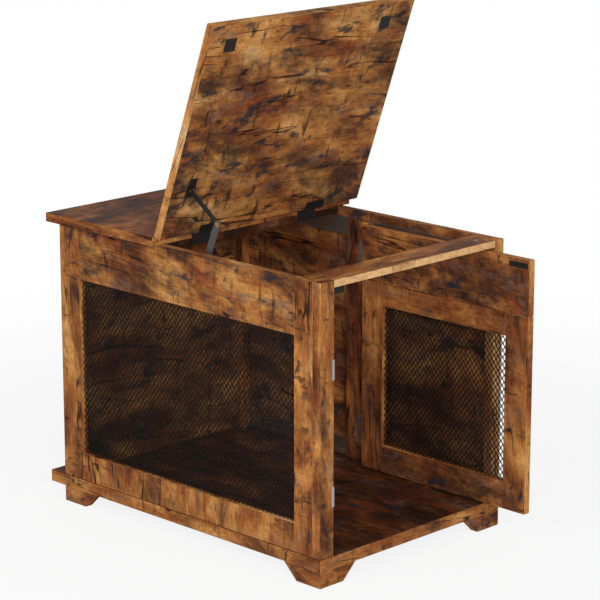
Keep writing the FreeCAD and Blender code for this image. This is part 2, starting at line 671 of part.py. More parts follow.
def make_stay(wall_screws):
    """Folding stay on the near wall: bracket, lower arm with its elbow rivet, upper arm."""
    running = "Size.stay_rivet_radius + Size.pin_play"
    plate = box("wall_plate", ("stay_wall_x - Size.stay_lower_half", "stay_wall_x + Size.stay_lower_half"),
                ("near_inner", "near_inner + Size.stay_plate"),
                ("stay_wall_z - Size.stay_wall_plate_drop", "stay_wall_z + Size.stay_lower_half"))
    rivet = fuse("wall_rivet_joined",
                 rod("wall_rivet_shank", "y", ("stay_wall_x", "near_inner", "stay_wall_z"),
                     "Size.stay_rivet_radius", "stay_high_y - near_inner"),
                 rod("wall_rivet_head", "y",
                     ("stay_wall_x", "stay_high_y - Size.stay_layer_gap / 2", "stay_wall_z"),
                     "Size.stay_rivet_head", "Size.stay_plate"))
    piece("stay_wall_bracket", cut("wall_bracket_cut", plate, rivet, wall_screws))
    piece("stay_wall_rivet", rivet)
    lower = arm("lower_arm", "stay_lower_length", "Size.stay_lower_half", "Size.stay_lower_thick", running)
    elbow = rod("elbow_rivet", "y", ("stay_lower_length", "-Size.stay_layer_gap / 2", "0"),
                "Size.stay_rivet_head", "Size.stay_lower_thick + Size.stay_layer_gap / 2")
    lower_place = ("stay_wall_x", "stay_low_y", "stay_wall_z", "stay_lower_angle")
    piece("stay_lower_arm", tilt(cut("lower_arm_cut", lower, elbow), *lower_place))
    piece("stay_elbow_rivet", tilt(group("elbow_rivet_set", elbow), *lower_place))
    upper = arm("upper_arm", "stay_upper_length", "Size.stay_upper_half", "Size.stay_plate", running)
    upper_place = ("hinge_x + stay_lid_open_x", "stay_high_y", "hinge_z + stay_lid_open_z",
                   "-stay_upper_angle")
    piece("stay_upper_arm", tilt(upper, *upper_place))


def make_small_screws():
    """Screws of the wall bracket and the two channels, which their wood and metal are cut by."""
    wall = []
    flange = "(Size.stay_wall_plate_drop - Size.stay_lower_half)"
    for number, share in enumerate(("Size.wall_screw_high", "Size.wall_screw_low")):
        height = f"stay_wall_z - Size.stay_wall_plate_drop + {flange} * {share}"
        spot = ("stay_wall_x", "near_inner + Size.stay_plate", height)
        wall.append(screw(f"wall_screw_{number}", "-y", spot, "Size.plate_screw_length"))
    channel = []
    for level, low in (("low", "low_channel"), ("high", "high_channel")):
        for number, share in enumerate(("Size.channel_screw_end", "0.5", "(1 - Size.channel_screw_end)")):
            spot = (f"channel_back + (post_back - channel_back) * {share}",
                    "far_inner - Size.channel_wall", f"{low} + Size.channel_height / 2")
            channel.append(screw(f"channel_screw_{level}_{number}", "y", spot, "Size.channel_screw_length"))
    wall_set = group("wall_screws", *wall)
    channel_set = group("channel_screws", *channel)
    return wall_set, channel_set


def make_channels(channel_screws):
    """Two C channels screwed to the far wall, and the slide bars that run in them."""
    for level, low in (("lower", "low_channel"), ("upper", "high_channel")):
        high = f"{low} + Size.channel_height"
        outer = box(f"{level}_channel_outer", ("channel_back", "post_back"), ("far_post_inner", "far_inner"),
                    (low, high))
        inside = box(f"{level}_channel_inside", ("channel_back - 1", "post_back + 1"),
                     ("far_post_inner + Size.channel_wall", "far_inner - Size.channel_wall"),
                     (f"{low} + Size.channel_wall", f"{high} - Size.channel_wall"))
        slot = box(f"{level}_channel_slot", ("channel_back - 1", "post_back + 1"),
                   ("far_post_inner - 1", "far_post_inner + Size.channel_wall + 1"),
                   (f"{low} + Size.channel_wall + Size.channel_lip",
                    f"{high} - Size.channel_wall - Size.channel_lip"))
        hollow = fuse(f"{level}_channel_hollow", inside, slot)
        piece(f"channel_{level}", cut(f"{level}_channel_cut", outer, hollow, channel_screws))
        bar = box(f"{level}_bar", ("slide_back", "slide_front"),
                  ("far_post_inner + Size.channel_wall + Size.slide_play",
                   "far_inner - Size.channel_wall - Size.slide_play"),
                  (f"{low} + Size.channel_wall + Size.slide_play",
                   f"{high} - Size.channel_wall - Size.slide_play"))
        neck = box(f"{level}_neck", ("carriage_back", "slide_front"),
                   ("carriage_far", "far_post_inner + Size.channel_wall + Size.slide_play"),
                   (f"{low} + (Size.channel_height - Size.slide_neck) / 2",
                    f"{low} + (Size.channel_height + Size.slide_neck) / 2"))
        piece(f"slide_bar_{level}", fuse(f"{level}_slide", bar, neck))


def door_hinge_centres():
    """The two door hinges, as a level's name and the expression of its middle height."""
    return (("lower", "door_low + Size.door_hinge_inset + Size.door_hinge_length / 2"),
            ("upper", "door_high - Size.door_hinge_inset - Size.door_hinge_length / 2"))


def make_door_hinges():
    """Butt hinges between the carriage strip and the door, with their pins and screws."""
    axis_xy = ("swing_x", "swing_y")
    carriage_screws = []
    door_screws = []
    halves = []
    pins = []
    for level, centre in door_hinge_centres():
        z_span = (f"{centre} - Size.door_hinge_length / 2", f"{centre} + Size.door_hinge_length / 2")
        for number, sign in enumerate("-+"):
            height = f"{centre} {sign} Size.door_hinge_length * Size.hinge_screw_spread"
            reach = "Size.door_leaf_width * Size.door_leaf_screw_reach"
            spot = (f"swing_x - {reach}", "carriage_near - Size.leaf_thick", height)
            carriage_screws.append(screw(f"carriage_screw_{level}_{number}", "y", spot,
                                         "Size.carriage_screw_length"))
            spot = (f"swing_x + {reach}", "door_far + Size.leaf_thick", height)
            door_screws.append(screw(f"door_screw_{level}_{number}", "-y", spot, "Size.hinge_screw_length"))
        axis = axis_xy + (centre,)
        third = "Size.door_hinge_length / 3"
        clear = "Size.door_knuckle_radius + Size.knuckle_play"
        middle_gap = rod(f"carriage_relief_{level}", "z", axis_xy + (f"{centre} - {third} / 2",), clear,
                         third)
        end_gaps = [rod(f"door_relief_{level}_{number}", "z", axis_xy + (f"{centre} + {start}",), clear,
                        f"{third} + Size.knuckle_play / 2")
                    for number, start in enumerate((f"-{third} * 1.5",
                                                    f"{third} / 2 - Size.knuckle_play / 2"))]
        carriage_flap = box(f"carriage_flap_{level}", ("swing_x - Size.door_leaf_width", "swing_x"),
                            ("carriage_near - Size.leaf_thick", "carriage_near"), z_span)
        door_flap = box(f"door_flap_{level}", ("swing_x", "swing_x + Size.door_leaf_width"),
                        ("door_far", "door_far + Size.leaf_thick"), z_span)
        outer = knuckles(f"carriage_{level}", axis, "Size.door_hinge_length", "outer",
                         "Size.door_knuckle_radius", "z")
        inner = knuckles(f"door_{level}", axis, "Size.door_hinge_length", "middle",
                         "Size.door_knuckle_radius", "z")
        carriage_half = fuse(f"carriage_half_{level}",
                             cut(f"carriage_flap_cut_{level}", carriage_flap, middle_gap), *outer)
        door_half = fuse(f"door_half_{level}", cut(f"door_flap_cut_{level}", door_flap, *end_gaps), *inner)
        bore = pin_bore(f"door_bore_{level}", axis, "Size.door_hinge_length", "z")
        halves.append((level, carriage_half, door_half, bore))
        pins.append(rod(f"door_pin_{level}", "z", axis_xy + (f"{centre} - Size.door_hinge_length / 2",),
                        "Size.pin_radius", "Size.door_hinge_length"))
    carriage_set = group("carriage_screw_set", *carriage_screws)
    door_set = group("door_screw_set", *door_screws)
    for level, carriage_half, door_half, bore in halves:
        piece(f"door_hinge_carriage_leaf_{level}",
              cut(f"carriage_leaf_{level}", carriage_half, bore, carriage_set))
        piece(f"door_hinge_door_leaf_{level}", cut(f"door_leaf_{level}", door_half, bore, door_set))
    piece("door_hinge_pins", group("door_pin_pair", *pins))
    piece("carriage_screws", carriage_set)
    piece("door_hinge_screws", door_set)
    strip = box("carriage_blank", ("carriage_back", "carriage_front"), ("carriage_near", "carriage_far"),
                ("low_channel", "high_channel + Size.channel_height"))
    piece("carriage_strip", cut("carriage_cut", strip, carriage_set))
    return door_set


def make_door(door_set):
    """Door round expanded metal: a deep rail across the top, two stiles and two rails below it."""
    y_span = ("door_near", "door_far")
    tall = ("door_low", "door_joint")
    half_slot = "(Size.mesh_thick / 2 + Size.mesh_play)"
    reach = "Size.mesh_bite - Size.mesh_play"
    groove = box("door_groove", (f"door_opening_back - {reach} - Size.mesh_play * 2",
                                 f"door_opening_front + {reach} + Size.mesh_play * 2"),
                 (f"door_mesh_mid - {half_slot}", f"door_mesh_mid + {half_slot}"),
                 (f"door_opening_low - {reach} - Size.mesh_play * 2",
                  f"door_opening_high + {reach} + Size.mesh_play * 2"))
    hinge_stile = box("hinge_stile_blank", ("door_hinge_end", "door_opening_back"), y_span, tall)
    free_stile = box("free_stile_blank", ("door_opening_front", "door_free_end"), y_span, tall)
    between = ("door_opening_back", "door_opening_front")
    top_rail = box("door_top_blank", ("door_hinge_end", "door_free_end"), y_span, ("door_joint", "door_high"))
    mid_rail = box("door_mid_blank", between, y_span, ("door_opening_high", "door_joint"))
    bottom_rail = box("door_bottom_blank", between, y_span, ("door_low", "door_opening_low"))
    piece("door_hinge_stile", cut("hinge_stile_cut", hinge_stile, groove, door_set))
    piece("door_free_stile", cut("free_stile_cut", free_stile, groove))
    piece("door_top_rail", cut("door_top_cut", top_rail, door_set))
    piece("door_mid_rail", cut("door_mid_cut", mid_rail, groove))
    piece("door_bottom_rail", cut("door_bottom_cut", bottom_rail, groove))
    width = place("door_opening_front") - place("door_opening_back") + 2 * size("mesh_bite")
    height = place("door_opening_high") - place("door_opening_low") + 2 * size("mesh_bite")
    middle = ((place("door_opening_front") + place("door_opening_back")) / 2,
              place("door_mesh_mid") - size("mesh_thick") / 2,
              (place("door_opening_high") + place("door_opening_low")) / 2)
    mesh_panel("door_mesh", width, height, middle)
    plate_x = ("door_free_end - Size.door_plate_inset - Size.door_plate_length",
               "door_free_end - Size.door_plate_inset")
    plate_y = ("door_near - Size.door_plate_thick", "door_near")
    plate_z = ("door_high - Size.door_plate_drop - Size.door_plate_height",
               "door_high - Size.door_plate_drop")
    piece("door_catch_plate", box("door_plate_blank", plate_x, plate_y, plate_z))


def make_catches():
    """Magnetic catch under the front rail and the two strike plates on the near post."""
    door_back = "(shut_x - Size.door_knuckle_radius - Size.door_thick - Size.door_plate_thick)"
    centre = "(near_post_inner + Size.door_free_gap + Size.door_plate_inset + Size.door_plate_length / 2)"
    piece("door_catch", box("catch_blank", (f"{door_back} - Size.catch_gap - Size.catch_depth",
                                            f"{door_back} - Size.catch_gap"),
                            (f"{centre} - Size.catch_width / 2", f"{centre} + Size.catch_width / 2"),
                            ("rail_under - Size.catch_height", "rail_under")))
    plates = []
    for level, rise in (("lower", "Size.strike_low"), ("upper", "Size.strike_high")):
        z_span = (f"floor + {rise}", f"floor + {rise} + Size.strike_height")
        face = box(f"strike_face_{level}", ("front", "front + Size.strike_thick"),
                   ("near_post_inner - Size.strike_face", "near_post_inner + Size.strike_thick"), z_span)
        side = box(f"strike_side_{level}", ("front - Size.strike_side", "front"),
                   ("near_post_inner", "near_post_inner + Size.strike_thick"), z_span)
        plates.append(fuse(f"strike_{level}", face, side))
    piece("strike_plates", group("strike_pair", *plates))


side_screws, foot_screws = make_screws()
wall_screws, channel_screws = make_small_screws()
make_base(side_screws, foot_screws)
make_near_side(side_screws, wall_screws)
make_walls(side_screws, channel_screws)
make_front()
fixed_leaf_screws = make_fixed_top()
piece("carcass_screws", group("carcass_screw_set", fixed_leaf_screws, wall_screws, channel_screws))
make_lid()
make_stay(wall_screws)
make_channels(channel_screws)
door_screw_set = make_door_hinges()
make_door(door_screw_set)
make_catches()
doc.recompute()

for feature in doc.Objects:
    if "Invalid" in feature.State or "Error" in feature.State:
        raise RuntimeError(f"{feature.Name} did not recompute: {feature.State}")
for feature in pieces:
    if feature.Shape.isNull() or not feature.Shape.isValid() or not feature.Shape.Solids:
        raise RuntimeError(f"{feature.Label} has no valid shape")

os.makedirs("parts", exist_ok=True)
for feature in pieces:
    feature.Shape.exportStep(f"parts/{feature.Label}.step")
for alias in ("hinge_x", "hinge_z", "swing_x", "swing_y", "shut_x", "stay_lower_length", "stay_upper_length",
              "stay_lower_angle", "stay_upper_angle", "stay_wall_x", "stay_wall_z", "stay_lid_open_x",
              "stay_lid_open_z"):
    print(f"{alias} {place(alias):.3f}")
print(len(pieces), "pieces")
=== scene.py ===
import json
import math

import bmesh
import bpy
import numpy as np
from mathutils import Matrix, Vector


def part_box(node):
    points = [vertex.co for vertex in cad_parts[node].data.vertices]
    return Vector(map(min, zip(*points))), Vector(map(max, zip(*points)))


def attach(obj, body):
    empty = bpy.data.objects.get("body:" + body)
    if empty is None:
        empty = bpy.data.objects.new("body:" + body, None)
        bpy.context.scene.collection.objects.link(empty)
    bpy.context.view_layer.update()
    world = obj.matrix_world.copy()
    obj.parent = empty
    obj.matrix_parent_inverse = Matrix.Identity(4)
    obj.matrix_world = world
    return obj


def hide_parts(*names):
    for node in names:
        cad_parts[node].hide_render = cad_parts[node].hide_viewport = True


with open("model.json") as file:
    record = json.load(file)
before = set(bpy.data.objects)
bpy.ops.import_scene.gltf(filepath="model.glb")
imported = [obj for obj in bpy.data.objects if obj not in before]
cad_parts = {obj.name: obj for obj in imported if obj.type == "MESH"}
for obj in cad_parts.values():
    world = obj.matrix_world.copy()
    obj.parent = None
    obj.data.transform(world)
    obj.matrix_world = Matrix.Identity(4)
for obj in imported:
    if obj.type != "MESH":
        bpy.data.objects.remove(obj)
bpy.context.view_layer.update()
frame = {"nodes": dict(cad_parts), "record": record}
scene = bpy.context.scene
scene.view_settings.view_transform = "Standard"


# ---------------------------------------------------------------- plinth board
# Particle board faced with paper printed as weathered barn wood, its edges banded
# with a strip of the same print.  It lies on the feet and stands out at the back.

MM = 0.001
X, Y, Z = 0, 1, 2        # the axis that a board's print runs along
ARRIS = 0.9 * MM         # how far each arris is eased
NARROW_FACE = 30 * MM    # a face narrower than this is an edge band
BAND_STAIN = 0.6         # an edge band's share of its board's staining
SEED_DEPTH = 37.0        # how far apart in the noise seeds 0 and 1 lie
BOARD_STEP = 3.7         # metres of print between seeds 0 and 1
FACE_STEP = 0.31         # metres of print between two faces of one board
FACE_SEED = 0.017        # and by how much their seeds differ
JOINT_LINE = 1.0 * MM    # an open joint at the lower end of an upright


def linear(code):
    """The linear colour of an sRGB hex code, as red, green, blue and alpha 1."""
    parts = [int(code[i:i + 2], 16) / 255 for i in (1, 3, 5)]
    return [c / 12.92 if c <= 0.04045 else ((c + 0.055) / 1.055) ** 2.4
            for c in parts] + [1.0]


def add(tree, kind, inputs=None, **settings):
    """One node in tree with its settings; inputs gives each named socket a value or a link."""
    made = tree.nodes.new(kind)
    for name, value in settings.items():
        setattr(made, name, value)
    for name, value in (inputs or {}).items():
        if isinstance(value, bpy.types.NodeSocket):
            tree.links.new(value, made.inputs[name])
        else:
            made.inputs[name].default_value = value
    return made


def new_material(name):
    """A material with one Principled shader: the material, its tree and the shader."""
    made = bpy.data.materials.new(name)
    made.use_nodes = True
    return made, made.node_tree, made.node_tree.nodes["Principled BSDF"]


WOOD_TONES = [(0.10, "#2B160C"), (0.28, "#532C17"), (0.42, "#834D28"),
              (0.54, "#A96C37"), (0.68, "#C48B4C"), (0.88, "#DBAE78")]
KNOT_CELL = (240 * MM, 120 * MM)   # at most one knot to this much board


def barn_wood(name):
    """Printed melamine paper, pressed with a low-gloss plate: nearly matt and flat.

    All its cracks, knots, saw marks and mould stains are ink, over a faint embossed grain.
    The map called grain holds metres along and across the grain.  The attribute called
    tone holds how light the piece is, with painted highlight and painted shade added on edge
    bands and on the shaded cross rail, how stained it is, and a seed, each from 0 to 1.
    """
    made, tree, shader = new_material(name)
    where = add(tree, "ShaderNodeUVMap", uv_map="grain")
    tone = add(tree, "ShaderNodeAttribute", attribute_name="tone")
    split = add(tree, "ShaderNodeSeparateColor", {"Color": tone.outputs["Color"]})
    light, stained, seed = (split.outputs[part] for part in ("Red", "Green", "Blue"))
    flat = add(tree, "ShaderNodeSeparateXYZ", {"Vector": where.outputs["UV"]})
    depth = add(tree, "ShaderNodeMath", {0: seed, 1: SEED_DEPTH}, operation="MULTIPLY")
    straight = add(tree, "ShaderNodeCombineXYZ",
                   {"X": flat.outputs["X"], "Y": flat.outputs["Y"],
                    "Z": depth.outputs[0]}).outputs[0]

    def cloud(source, along, across, detail=2.0, rough=0.5, warp=0.0, shift=0.0, slant=0.0):
        """Noise in blots along by across millimetres, turned by slant degrees."""
        turned = add(tree, "ShaderNodeMapping",
                     {"Vector": source, "Rotation": (0.0, 0.0, math.radians(slant))})
        scaled = add(tree, "ShaderNodeMapping",
                     {"Vector": turned.outputs[0],
                      "Scale": (1 / (along * MM), 1 / (across * MM), 1.0),
                      "Location": (shift, shift * 0.7, shift * 1.3)})
        return add(tree, "ShaderNodeTexNoise",
                   {"Vector": scaled.outputs[0], "Scale": 1.0, "Detail": detail,
                    "Roughness": rough, "Distortion": warp}).outputs["Fac"]

    def span(value, low, high, start=0.0, end=1.0):
        """value from low to high, smoothly, given as start to end."""
        return add(tree, "ShaderNodeMapRange",
                   {"Value": value, "From Min": low, "From Max": high,
                    "To Min": start, "To Max": end},
                   interpolation_type="SMOOTHSTEP").outputs["Result"]

    def maths(kind, first, second):
        """first and second put together by one kind of sum."""
        return add(tree, "ShaderNodeMath", {0: first, 1: second}, operation=kind).outputs[0]

    def off_middle(value, gain):
        """How far value is from a half, times gain."""
        return maths("MULTIPLY", maths("SUBTRACT", value, 0.5), gain)

    def tint(amount, under, over, kind="MIX"):
        """over laid on under by amount."""
        return add(tree, "ShaderNodeMix", {0: amount, 6: under, 7: over}, data_type="RGBA",
                   blend_type=kind).outputs[2]

    # the grain wanders 8 mm to each side over a quarter of a metre
    wander = off_middle(cloud(straight, 260, 100, detail=1.0), 0.03)
    drift = add(tree, "ShaderNodeCombineXYZ", {"Y": wander})
    wood = add(tree, "ShaderNodeVectorMath", {0: straight, 1: drift.outputs[0]},
               operation="ADD").outputs[0]

    # broad patches from chocolate to pale tan, with streaks 3 mm wide
    patch = cloud(wood, 170, 85, detail=6.0, rough=0.66, warp=0.3, shift=3.1, slant=8.0)
    streak = cloud(wood, 90, 3.2, detail=3.0, rough=0.6, shift=7.7)
    level = maths("ADD", off_middle(patch, 1.4), off_middle(streak, 0.3))
    # the tone's lightness shifts the level; on edge bands and on the cross rail it carries
    # painted highlight and painted shade
    level = maths("ADD", level, off_middle(light, 0.9))
    ramp = add(tree, "ShaderNodeValToRGB", {"Fac": maths("ADD", level, 0.485)})
    darkest, palest = ramp.color_ramp.elements[0], ramp.color_ramp.elements[1]
    darkest.position, palest.position = WOOD_TONES[0][0], WOOD_TONES[-1][0]
    darkest.color, palest.color = linear(WOOD_TONES[0][1]), linear(WOOD_TONES[-1][1])
    for place, code in WOOD_TONES[1:-1]:
        ramp.color_ramp.elements.new(place).color = linear(code)
    colour = ramp.outputs["Color"]

    # fox-red patches and mauve-grey weathering
    red = cloud(wood, 120, 65, detail=3.0, rough=0.6, warp=0.4, shift=11.3)
    colour = tint(span(red, 0.50, 0.66, 0.0, 0.6), colour, linear("#7E3C22"))
    grey = cloud(wood, 100, 35, detail=4.0, rough=0.65, warp=0.4, shift=19.9)
    grey = maths("MULTIPLY", span(grey, 0.52, 0.68, 0.0, 1.1), stained)
    colour = tint(grey, colour, linear("#6E564C"))

    # smoke-brown smudges, lying aslant, with ragged rims
    smoke = cloud(wood, 220, 95, detail=8.0, rough=0.72, warp=0.2, shift=27.4, slant=16.0)
    smoke = maths("ADD", smoke, off_middle(stained, 0.30))
    colour = tint(span(smoke, 0.46, 0.68, 0.0, 0.9), colour, linear("#2F201C"))

    # blue-black mould stains, and blots that run across the grain
    blot = cloud(wood, 70, 34, detail=6.0, rough=0.62, warp=0.2, shift=35.8, slant=-9.0)
    blot = maths("ADD", blot, off_middle(stained, 0.12))
    colour = tint(span(blot, 0.565, 0.68, 0.0, 0.88), colour, linear("#26272D"))
    cross = cloud(wood, 16, 60, detail=6.0, rough=0.66, warp=0.2, shift=39.1)
    cross = maths("ADD", cross, off_middle(stained, 0.10))
    colour = tint(span(cross, 0.56, 0.68, 0.0, 0.8), colour, linear("#2E221D"))

    # saw marks 4.5 mm apart across the grain in some places, fibres 1.4 mm wide and a fine
    # mottle, all as light and shade round 1; then dark flecks
    saw = cloud(wood, 4.5, 60, detail=2.0, rough=0.6, shift=41.0)
    sawn = span(cloud(wood, 160, 90, detail=1.0, shift=43.0), 0.42, 0.58, 0.15, 0.9)
    fibre = cloud(wood, 22, 1.4, detail=3.0, rough=0.7, shift=51.0)
    mottle = cloud(wood, 17, 10, detail=8.0, rough=0.82, shift=55.0)
    marks = maths("ADD", maths("MULTIPLY", off_middle(saw, 0.8), sawn), off_middle(fibre, 0.4))
    value = maths("ADD", marks, maths("ADD", off_middle(mottle, 2.0), 1.0))
    shade = add(tree, "ShaderNodeCombineColor",
                {"Red": value, "Green": value, "Blue": value}).outputs[0]
    colour = tint(1.0, colour, shade, "MULTIPLY")
    fleck = cloud(wood, 12, 3, detail=2.0, rough=0.6, warp=0.3, shift=58.0)
    colour = tint(span(fleck, 0.64, 0.71, 0.0, 0.6), colour, linear("#2A1A12"))

    # drying cracks: level lines of a long noise, 1 to 2 mm wide, opening and closing
    crease = cloud(wood, 500, 46, detail=3.0, rough=0.45, warp=0.1, shift=61.0, slant=3.0)
    away = maths("ABSOLUTE", maths("SUBTRACT", crease, 0.5), 0.0)
    some = span(cloud(wood, 160, 50, detail=3.0, rough=0.6, shift=67.0), 0.48, 0.54)
    crack = maths("MULTIPLY", span(away, 0.003, 0.014, 1.0, 0.0), some)
    colour = tint(maths("MULTIPLY", crack, 0.9), colour, linear("#1C110B"))

    # knots about 30 x 15 mm with soft rims
    cells = add(tree, "ShaderNodeMapping",
                {"Vector": wood, "Scale": (1 / KNOT_CELL[0], 1 / KNOT_CELL[1], 1.0)})
    knot = add(tree, "ShaderNodeTexVoronoi",
               {"Vector": cells.outputs[0], "Scale": 1.0}).outputs["Distance"]
    colour = tint(span(knot, 0.03, 0.09, 0.75, 0.0), colour, linear("#26160F"))

    # the embossed grain, and a gloss that follows it
    height = maths("SUBTRACT", maths("MULTIPLY", streak, 0.6), crack)
    bump = add(tree, "ShaderNodeBump",
               {"Height": height, "Strength": 0.2, "Distance": 0.3 * MM})
    tree.links.new(colour, shader.inputs["Base Color"])
    tree.links.new(bump.outputs[0], shader.inputs["Normal"])
    tree.links.new(span(streak, 0.3, 0.7, 0.58, 0.70), shader.inputs["Roughness"])
    shader.inputs["IOR"].default_value = 1.5
    shader.inputs["Specular IOR Level"].default_value = 0.08
    return made


wood_board = barn_wood("melamine_barn_wood")


def between(low_ring, high_ring):
    """Points and faces of the closed solid between two rings of equally many corners.

    Side i joins corners i and i + 1 of both rings; a face closes each end.
    """
    count = len(low_ring)
    points = np.vstack([low_ring, high_ring])
    here = np.arange(count)
    after = (here + 1) % count
    sides = np.stack([here, after, after + count, here + count], axis=1)
    faces = [list(here[::-1]), list(here + count)] + sides.tolist()
    return points, faces


def box_rings(low, high):
    """The lower and upper ring of a box from its lowest and highest corners."""
    (x0, y0, z0), (x1, y1, z1) = low, high
    ring = np.array([(x0, y0), (x1, y0), (x1, y1), (x0, y1)])
    return tuple(np.column_stack([ring, np.full(4, z)]) for z in (z0, z1))


def timber(name, rings, grain, light=0.5, stained=0.5, edge_light=0.12, seed=0.0, move=None):
    """A board between two rings, with eased arrises and its print mapped in metres.

    A broad face is mapped along the grain axis.  A narrow one is an edge band: it is mapped
    along its own length and made lighter by the edge value, a painted highlight (painted shade
    where that value is negative).  move, a turn and a shift, carries the finished points to
    where the board stands.
    """
    points, faces = between(*rings)
    mesh = bpy.data.meshes.new(name)
    mesh.from_pydata(points.tolist(), [], faces)
    shell = bmesh.new()
    shell.from_mesh(mesh)
    bmesh.ops.recalc_face_normals(shell, faces=shell.faces)
    shell.to_mesh(mesh)
    shell.free()
    mesh.uv_layers.new(name="grain")
    mesh.attributes.new("tone", "FLOAT_COLOR", "CORNER")
    grain_map = np.zeros((len(mesh.loops), 2))
    tones = np.zeros((len(mesh.loops), 4))
    corners = np.array([v.co for v in mesh.vertices])
    for number, face in enumerate(mesh.polygons):
        loops = np.arange(face.loop_start, face.loop_start + face.loop_total)
        spots = corners[[mesh.loops[i].vertex_index for i in loops]]
        normal_axis = int(np.argmax(np.abs(face.normal)))
        axes = [a for a in range(3) if a != normal_axis]
        reach = np.ptp(spots, axis=0)
        narrow = min(reach[a] for a in axes) < NARROW_FACE
        along = max(axes, key=lambda a: reach[a]) if narrow or grain not in axes else grain
        across = [a for a in axes if a != along][0]
        step = np.array([seed * BOARD_STEP, number * FACE_STEP])
        grain_map[loops] = spots[:, [along, across]] + step
        # a narrow face's lightness is raised by the edge value as a painted highlight, and
        # lowered as painted shade where that value is negative
        tones[loops] = (light + (edge_light if narrow else 0.0),
                        stained * (BAND_STAIN if narrow else 1.0),
                        (seed + number * FACE_SEED) % 1.0, 1.0)
    mesh.uv_layers["grain"].data.foreach_set("uv", grain_map.ravel())
    mesh.attributes["tone"].data.foreach_set("color", tones.ravel())
    if move is not None:
        turn, shift = move
        mesh.vertices.foreach_set("co", (corners @ turn.T + shift).ravel())
    mesh.materials.append(wood_board)
    made = bpy.data.objects.new(name, mesh)
    scene.collection.objects.link(made)
    ease = made.modifiers.new("arris", "BEVEL")
    ease.width = ARRIS
    ease.segments = 2
    ease.limit_method = "ANGLE"
    return made


def board(node, body, grain, line_below=False, **look):
    """The faced board that stands for one CAD board of the same size and place.

    line_below lifts its lower end by the width of an open joint, which shows as a dark line.
    """
    low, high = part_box(node)
    low = (low[0], low[1], low[2] + (JOINT_LINE if line_below else 0.0))
    made = timber(node + "_faced", box_rings(low, high), grain, **look)
    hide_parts(node)
    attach(made, body)
    return made


board("base_board", "carcass", X, light=0.22, stained=0.55, edge_light=0.32, seed=0.11)


# ---------------------------------------------------------------- bracket feet
# Four corner brackets mitred from two faced strips, glued under the plinth board.  The
# inner end of each leg is sawn at a slope, so the sole is shorter than the top.

FOOT_THICK = 18 * MM
FOOT_SOLE = 62 * MM


def foot_rings(low, high, corner_x, corner_y):
    """The sole's and the top's outline of one foot: an L whose legs leave the outer corner."""
    rings = []
    for z, reach in ((low[2], FOOT_SOLE), (high[2], high[0] - low[0])):
        legs = np.array([(0, 0), (reach, 0), (reach, FOOT_THICK), (FOOT_THICK, FOOT_THICK),
                         (FOOT_THICK, reach), (0, reach)])
        x = (high[0] - legs[:, 0]) if corner_x > 0 else (low[0] + legs[:, 0])
        y = (high[1] - legs[:, 1]) if corner_y > 0 else (low[1] + legs[:, 1])
        rings.append(np.column_stack([x, y, np.full(len(legs), z)]))
    return rings


for end, corner_x in (("back", -1), ("front", 1)):
    for side, corner_y in (("near", -1), ("far", 1)):
        foot = f"foot_{end}_{side}"
        foot_piece = timber(foot + "_faced", foot_rings(*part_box(foot), corner_x, corner_y), X,
                            light=0.52, stained=0.5, edge_light=0.0,
                            seed=0.2 + 0.07 * corner_x + 0.03 * corner_y)
        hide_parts(foot)
        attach(foot_piece, "carcass")


# ---------------------------------------------------------------- near side frame
# Two stiles and two rails of faced board, butted and dowelled, with a groove inside for
# the expanded metal.  The top rail's print runs lengthwise, all the others' upright.

board("near_back_stile", "carcass", Z, line_below=True, light=0.52, stained=0.48, seed=0.31)
board("near_front_stile", "carcass", Z, line_below=True, light=0.54, stained=0.48, seed=0.37)
board("near_top_rail", "carcass", X, light=0.50, stained=0.62, seed=0.43)
board("near_bottom_rail", "carcass", Z, line_below=True, light=0.52, stained=0.42, seed=0.49)


# ---------------------------------------------------------------- far side, back end, battens
# Whole panels of the same faced board, with a square batten glued in each back corner.
# The panels' print runs lengthwise, the battens' upright.

board("far_panel", "carcass", X, line_below=True, light=0.46, stained=0.58, seed=0.53)
board("back_panel", "carcass", Y, line_below=True, light=0.48, stained=0.55, seed=0.57)
board("corner_batten_near", "carcass", Z, light=0.38, edge_light=0.0, seed=0.61)
board("corner_batten_far", "carcass", Z, light=0.40, edge_light=0.0, seed=0.64)


# ---------------------------------------------------------------- front posts and rails
# Two posts stand at the open end.  A rail lies flat between them, notched round both,
# and a second one crosses under the fixed board's front edge.

board("near_front_post", "carcass", Z, line_below=True, light=0.56, stained=0.5,
      edge_light=-0.02, seed=0.67)
board("far_front_post", "carcass", Z, line_below=True, light=0.52, stained=0.45,
      edge_light=0.1, seed=0.71)
# the cross rail is made dark, its edge bands darker still: painted shade for the shadow under
# the open lid
board("cross_rail", "carcass", Y, light=0.20, edge_light=-0.1, seed=0.74)

RAIL_DROP = 0.1 * MM   # the shut lid rests on the walls and clears the rail
rail_low, rail_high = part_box("front_rail")
near_post_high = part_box("near_front_post")[1]
far_post_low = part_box("far_front_post")[0]
notch_x = far_post_low[0]
rail_plan = np.array([(rail_low[0], rail_low[1]), (notch_x, rail_low[1]),
                      (notch_x, near_post_high[1]), (rail_high[0], near_post_high[1]),
                      (rail_high[0], far_post_low[1]), (notch_x, far_post_low[1]),
                      (notch_x, rail_high[1]), (rail_low[0], rail_high[1])])
rail_rings = [np.column_stack([rail_plan, np.full(len(rail_plan), z)])
              for z in (rail_low[2], rail_high[2] - RAIL_DROP)]
# its edge bands are made far lighter than the print: a painted highlight along the rail's front
# edge
front_rail = timber("front_rail_faced", rail_rings, Y, light=0.52, stained=0.35,
                    edge_light=0.8, seed=0.77)
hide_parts("front_rail")
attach(front_rail, "carcass")


# ---------------------------------------------------------------- fixed top board
# The back part of the table top, screwed down on the walls: faced board like the rest,
# its print running across the table.

board("top_fixed", "carcass", Y, light=0.40, stained=0.5, edge_light=0.08, seed=0.81)


